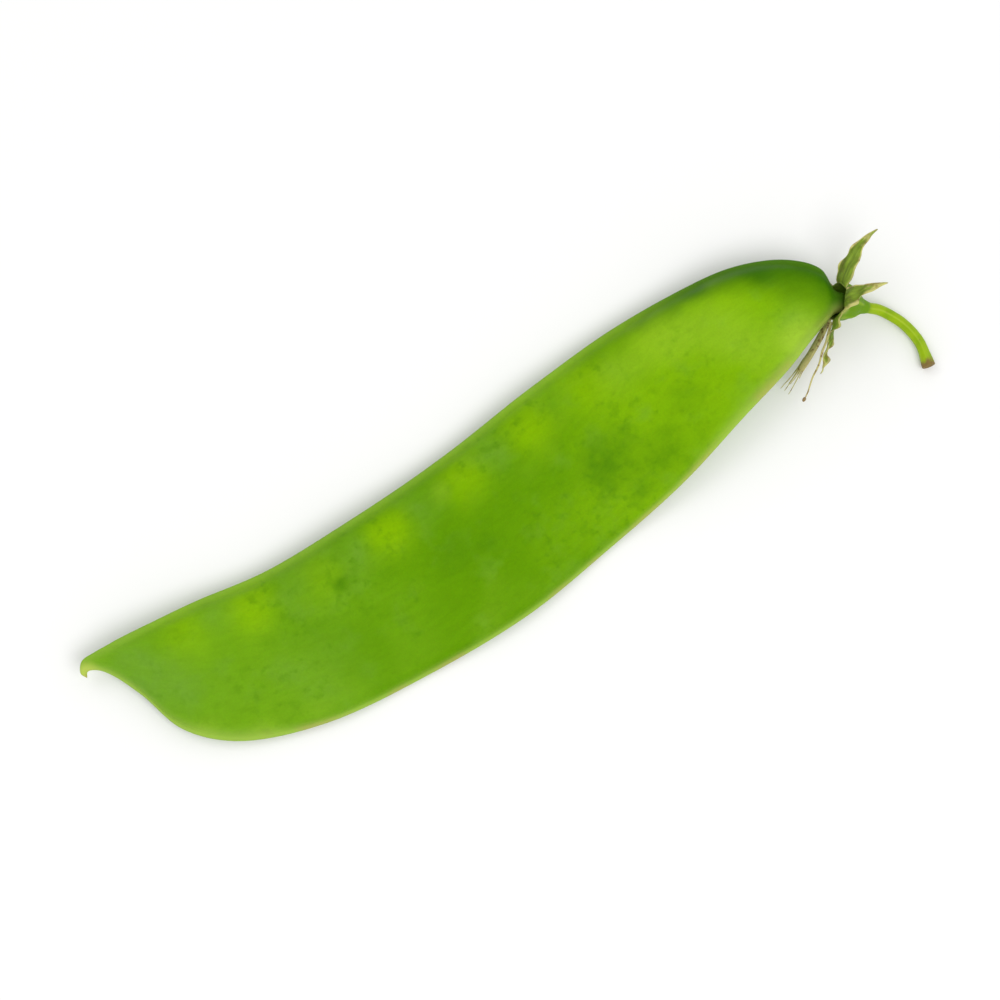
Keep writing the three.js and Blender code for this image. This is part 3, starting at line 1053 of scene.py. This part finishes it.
def make_stalk():
    start = foot_centre - calyx_axis * GAP
    upper = [start + calyx_axis * STALK_ROOT, start, start - calyx_axis * STALK_BEND]
    share = np.linspace(0, 1, STALK_ROWS)
    path = spline(upper + [start + np.array(point) for point in STALK_PATH], share)
    share = share[:, None]
    angle = round_angles(STALK_COLUMNS)[None, :]
    size = STALK_RADIUS * (1 + 0.26 * smooth(share, 0.86, 1.0) + 0.12 * bell(share, 0.06, 0.10))
    ridges = 0.035 * np.cos(5 * angle + 1.5 * share) + 0.016 * np.cos(9 * angle - 2 * share)
    skin = grain(points_at(np.cos(angle), np.sin(angle), share * 12), 0.9, seed=2.2)
    radius = size * (1 + ridges + 0.03 * skin + 0.05 * skin * smooth(share, 0.93, 1.0))
    rings = tube_rings(path, radius, STALK_COLUMNS)
    last, tangent = path[-1], unit(path[-1] - path[-2])
    face = [last + (rings[-1] - last) * scale + tangent * out for scale, out in STALK_CUT]
    rings = np.concatenate([rings, np.array(face)])
    shares = np.concatenate([share[:, 0], np.full(len(STALK_CUT), CUT_SHARE)])
    flat = np.zeros((len(STALK_CUT), STALK_COLUMNS))
    fields = {
        "along": np.repeat(shares[:, None], STALK_COLUMNS, axis=1),
        "ridge": np.vstack([ridges, flat]) * 20,
    }
    return make_mesh("stalk_pedicel", rings, fields)


THREAD_COLUMNS = 8
SHEATH_ROWS = 40
SHEATH_COLUMNS = 16  # across one face
SHEATH_HALF_WIDTH = 0.52
SHEATH_HALF_THICKNESS = 0.07
SHEATH_CURL = 0.9
FILAMENTS = 9
FILAMENT_ROWS = 26
FILAMENT_RADIUS = 0.085
FILAMENT_SPREAD = 0.48
FREE_STAMEN_ROWS = 60
FREE_STAMEN_RADIUS = 0.17
ANTHER_ROWS = 14
ANTHER_LENGTH = 0.62
ANTHER_RADIUS = 0.19
ANTHER_SHARE = 1.3  # past the end of the thread, where the material is brown


def thread(path, radius, seed):
    """A dried thread that thins towards its end, as rings and fields."""
    share = np.linspace(0, 1, len(path))
    skin = 1 + 0.12 * grain(points_at(share * 9, seed, 0.0), 1.0, seed)
    size = radius * skin * (1 - 0.55 * share) * np.sqrt(np.clip(share * 40, 0.05, 1.0))
    fields = {"along": np.repeat(share[:, None], THREAD_COLUMNS, axis=1)}
    return tube_rings(path, size, THREAD_COLUMNS), fields


def make_sheath():
    """A papery strip that frays into the dried filaments of nine stamens."""
    share = np.linspace(-0.05, 0.66, SHEATH_ROWS)
    side, face = both_faces(SHEATH_COLUMNS)
    width = side * (SHEATH_HALF_WIDTH * (1 - 0.25 * np.abs(share - 0.2)))[:, None]
    lift = SHEATH_CURL * width**2 + 0.05 * np.cos(side * 14)
    lift = lift + face * SHEATH_HALF_THICKNESS * (1 - 0.6 * side**2)
    rings = rings_on(blade_frame(STAMEN_SHEATH, share), width, lift)
    parts = [(rings, {"along": np.repeat(share[:, None], 2 * SHEATH_COLUMNS, axis=1)})]
    for k, place in enumerate(np.linspace(-0.85, 0.85, FILAMENTS)):
        reach = np.linspace(0.5, 0.86 + 0.13 * math.sin(k * 2.1), FILAMENT_ROWS)
        middle, across, normal = blade_frame(STAMEN_SHEATH, reach)
        loose = smooth(reach, 0.62, 1.0)
        offset = place * FILAMENT_SPREAD
        spread = offset * (1 + 0.9 * loose) + 0.22 * loose * math.sin(k * 1.7 + 1)
        rise = SHEATH_CURL * offset**2 + 0.55 * loose * math.sin(k * 2.6 + 0.7)
        path = middle + across * spread[:, None] + normal * rise[:, None]
        parts.append(thread(path, FILAMENT_RADIUS, k + 1.0))
    return join_rings("stamen_sheath_frayed", parts)


def make_free_stamen():
    share = np.linspace(-0.04, 1.0, FREE_STAMEN_ROWS)
    centre, across, normal = blade_frame(FREE_STAMEN, share)
    wander = 0.16 * np.sin(share * 9 + 0.5) * smooth(share, 0.1, 0.4)
    rise = 0.14 * np.sin(share * 13 + 1.2) * smooth(share, 0.2, 0.5)
    path = centre + across * wander[:, None] + normal * rise[:, None]
    filament = thread(path, FREE_STAMEN_RADIUS, 3.0)
    place = np.linspace(0, 1, ANTHER_ROWS)
    anther = path[-1] + unit(path[-1] - path[-3]) * (place[:, None] * ANTHER_LENGTH - 0.1)
    size = ANTHER_RADIUS * np.sqrt(np.maximum(1 - (2 * place - 1) ** 2, 0.02))
    anther_fields = {"along": np.full((ANTHER_ROWS, THREAD_COLUMNS), ANTHER_SHARE)}
    parts = [filament, (tube_rings(anther, size, THREAD_COLUMNS), anther_fields)]
    return join_rings("free_stamen_thread", parts)


# ---- calyx: materials ----

CUP_GREEN = (0.125, 0.265, 0.010)
CUP_RIB = (0.270, 0.420, 0.030)
SEPAL_GREEN = (0.160, 0.250, 0.018)
SEPAL_OLIVE = (0.088, 0.135, 0.012)
SEPAL_STRAW = (0.490, 0.465, 0.160)
SEPAL_BROWN = (0.190, 0.115, 0.040)
STALK_GREEN = (0.290, 0.440, 0.010)
STALK_DARK = (0.130, 0.280, 0.008)
STALK_PALE = (0.400, 0.520, 0.060)
CUT_BROWN = (0.200, 0.130, 0.045)
STAMEN_STRAW = (0.520, 0.470, 0.190)
STAMEN_BROWN = (0.210, 0.120, 0.045)


def cup_look():
    look = Look("calyx_skin")
    place = look.place()
    up = look.field("up")
    blotch = look.noise(place, 0.9, 4.0, 0.65)
    color = look.mix(look.ramp(look.field("rib"), 0.1, 1.0, 0.0, 0.75), CUP_GREEN, CUP_RIB)
    color = look.mix(look.ramp(blotch, 0.42, 0.7, 0.0, 0.6), color, STALK_DARK)
    color = look.mix(look.times(look.ramp(up, 0.24, 0.12), 0.7), color, STALK_DARK)
    worn = look.times(look.ramp(up, 0.8, 1.02), look.ramp(blotch, 0.35, 0.6))
    color = look.mix(look.times(worn, 0.6), color, SEPAL_STRAW)
    color = look.mix(look.times(look.field("inside"), 0.6), color, SEPAL_OLIVE)
    fine = look.noise(place, 0.18, 2.0)
    look.set(Base_Color=color, Roughness=look.ramp(blotch, 0.3, 0.7, 0.5, 0.66))
    look.set(Normal=look.bump(fine, 0.05, 0.5, look.bump(blotch, 0.12, 0.5)))
    look.set(Specular_IOR_Level=0.2, Specular_Tint=GLOSS_TINT)
    return look.material


def sepal_look():
    look = Look("sepal_dried")
    sheet = look.field("sheet", vector=True)
    blotch = look.noise(look.stretch(sheet, (1.5, 0.6, 1.0)), 1.0, 3.0, 0.55)
    fibre = look.noise(look.stretch(sheet, (6.0, 0.5, 1.0)), 1.0, 2.0)
    color = look.mix(look.ramp(blotch, 0.35, 0.7), SEPAL_GREEN, SEPAL_OLIVE)
    # Dry towards the tip and the edges, with brown patches where it is driest.
    dry = look.ramp(look.field("along"), 0.35, 1.0, 0.0, 0.75)
    dry = look.add(dry, look.ramp(look.field("edge"), 0.66, 0.97, 0.0, 0.85))
    dry = look.add(dry, look.ramp(blotch, 0.3, 0.7, -0.3, 0.35))
    color = look.mix(look.ramp(dry, 0.2, 0.8), color, SEPAL_STRAW)
    browned = look.ramp(look.noise(sheet, 0.8, 2.0), 0.5, 0.66)
    browned = look.times(browned, look.ramp(dry, 0.1, 0.6))
    color = look.mix(look.times(browned, 0.75), color, SEPAL_BROWN)
    color = look.mix(look.times(look.field("midrib"), 0.4), color, CUP_RIB)
    color = look.shade(color, look.ramp(fibre, 0.3, 0.7, 0.78, 1.14))
    look.set(Base_Color=color, Roughness=look.ramp(blotch, 0.3, 0.7, 0.55, 0.78))
    look.set(Normal=look.bump(fibre, 0.05, 0.6), Specular_IOR_Level=0.2)
    look.glow(0.15, 0.8, DRY_GLOW)
    return look.material


def stalk_look():
    look = Look("stalk_skin")
    place = look.place()
    along = look.field("along")
    blotch = look.noise(place, 1.5, 3.0, 0.55)
    scar = look.noise(place, 0.45, 2.0, 0.6)
    color = look.mix(look.ramp(blotch, 0.35, 0.75, 0.0, 0.55), STALK_GREEN, STALK_DARK)
    color = look.mix(look.ramp(look.field("ridge"), 0.1, 0.9, 0.0, 0.5), color, STALK_PALE)
    color = look.mix(look.ramp(along, 0.24, 0.09), color, CUP_GREEN)
    color = look.mix(look.ramp(scar, 0.66, 0.74, 0.0, 0.5), color, CUT_BROWN)
    ending = look.add(along, look.ramp(scar, 0.3, 0.7, -0.015, 0.015))
    color = look.mix(look.ramp(ending, 0.93, 0.995), color, CUT_BROWN)
    look.set(Base_Color=color, Roughness=look.ramp(blotch, 0.3, 0.7, 0.42, 0.56))
    look.set(Normal=look.bump(scar, 0.04, 0.5), Specular_IOR_Level=0.22, Specular_Tint=GLOSS_TINT)
    look.glow(0.1, 1.0, FRESH_GLOW)
    return look.material


def stamen_look():
    look = Look("stamen_dried")
    patch = look.noise(look.place(), 0.6, 3.0, 0.6)
    color = look.mix(look.ramp(patch, 0.5, 0.68), STAMEN_STRAW, STAMEN_BROWN)
    color = look.mix(look.ramp(look.field("along"), 0.9, 1.1, 0.0, 0.85), color, STAMEN_BROWN)
    look.set(Base_Color=color, Roughness=look.ramp(patch, 0.3, 0.7, 0.6, 0.8))
    look.set(Normal=look.bump(patch, 0.05, 0.5), Specular_IOR_Level=0.2)
    return look.material


sepal_material, stamen_material = sepal_look(), stamen_look()
finish_piece(make_cup(), "calyx_cup", cup_look())
for seed, (name, blade) in enumerate(SEPALS.items(), start=1):
    finish_piece(make_sepal(name, blade, seed * 1.9), name, sepal_material)
finish_piece(make_stalk(), "stalk", stalk_look())
finish_piece(make_sheath(), "stamen_sheath", stamen_material)
finish_piece(make_free_stamen(), "free_stamen", stamen_material)

# ---- stage ----

FLOOR_SIZE = 4.0
FLOOR_COLOR = (0.86, 0.86, 0.85)
SKY_COLOR = (1.0, 1.0, 1.0, 1.0)
SKY_STRENGTH = 0.78


def make_floor():
    half = FLOOR_SIZE / 2
    corners = [(-half, -half, 0), (half, -half, 0), (half, half, 0), (-half, half, 0)]
    data = bpy.data.meshes.new("floor")
    data.from_pydata(corners, [], [(0, 1, 2, 3)])
    look = Look("pale_floor")
    look.set(Base_Color=FLOOR_COLOR, Roughness=0.7, Specular_IOR_Level=0.1)
    data.materials.append(look.material)
    link("floor", data)


def area_lamp(name, azimuth, elevation, distance, size, power):
    lamp = link(name, bpy.data.lights.new(name, "AREA"))
    lamp.data.shape = "DISK"
    lamp.data.size = size
    lamp.data.energy = power
    aim(lamp, Vector((0, 0, 0)), direction(azimuth, elevation), distance)


def make_light():
    world = bpy.data.worlds.new("studio")
    bpy.context.scene.world = world
    world.use_nodes = True
    background = world.node_tree.nodes["Background"]
    background.inputs["Color"].default_value = SKY_COLOR
    background.inputs["Strength"].default_value = SKY_STRENGTH
    area_lamp("key", azimuth=10, elevation=60, distance=0.9, size=0.6, power=3.4)
    area_lamp("fill", azimuth=-150, elevation=55, distance=1.1, size=0.6, power=1.4)


make_floor()
make_light()
bpy.context.scene.view_settings.view_transform = "Standard"
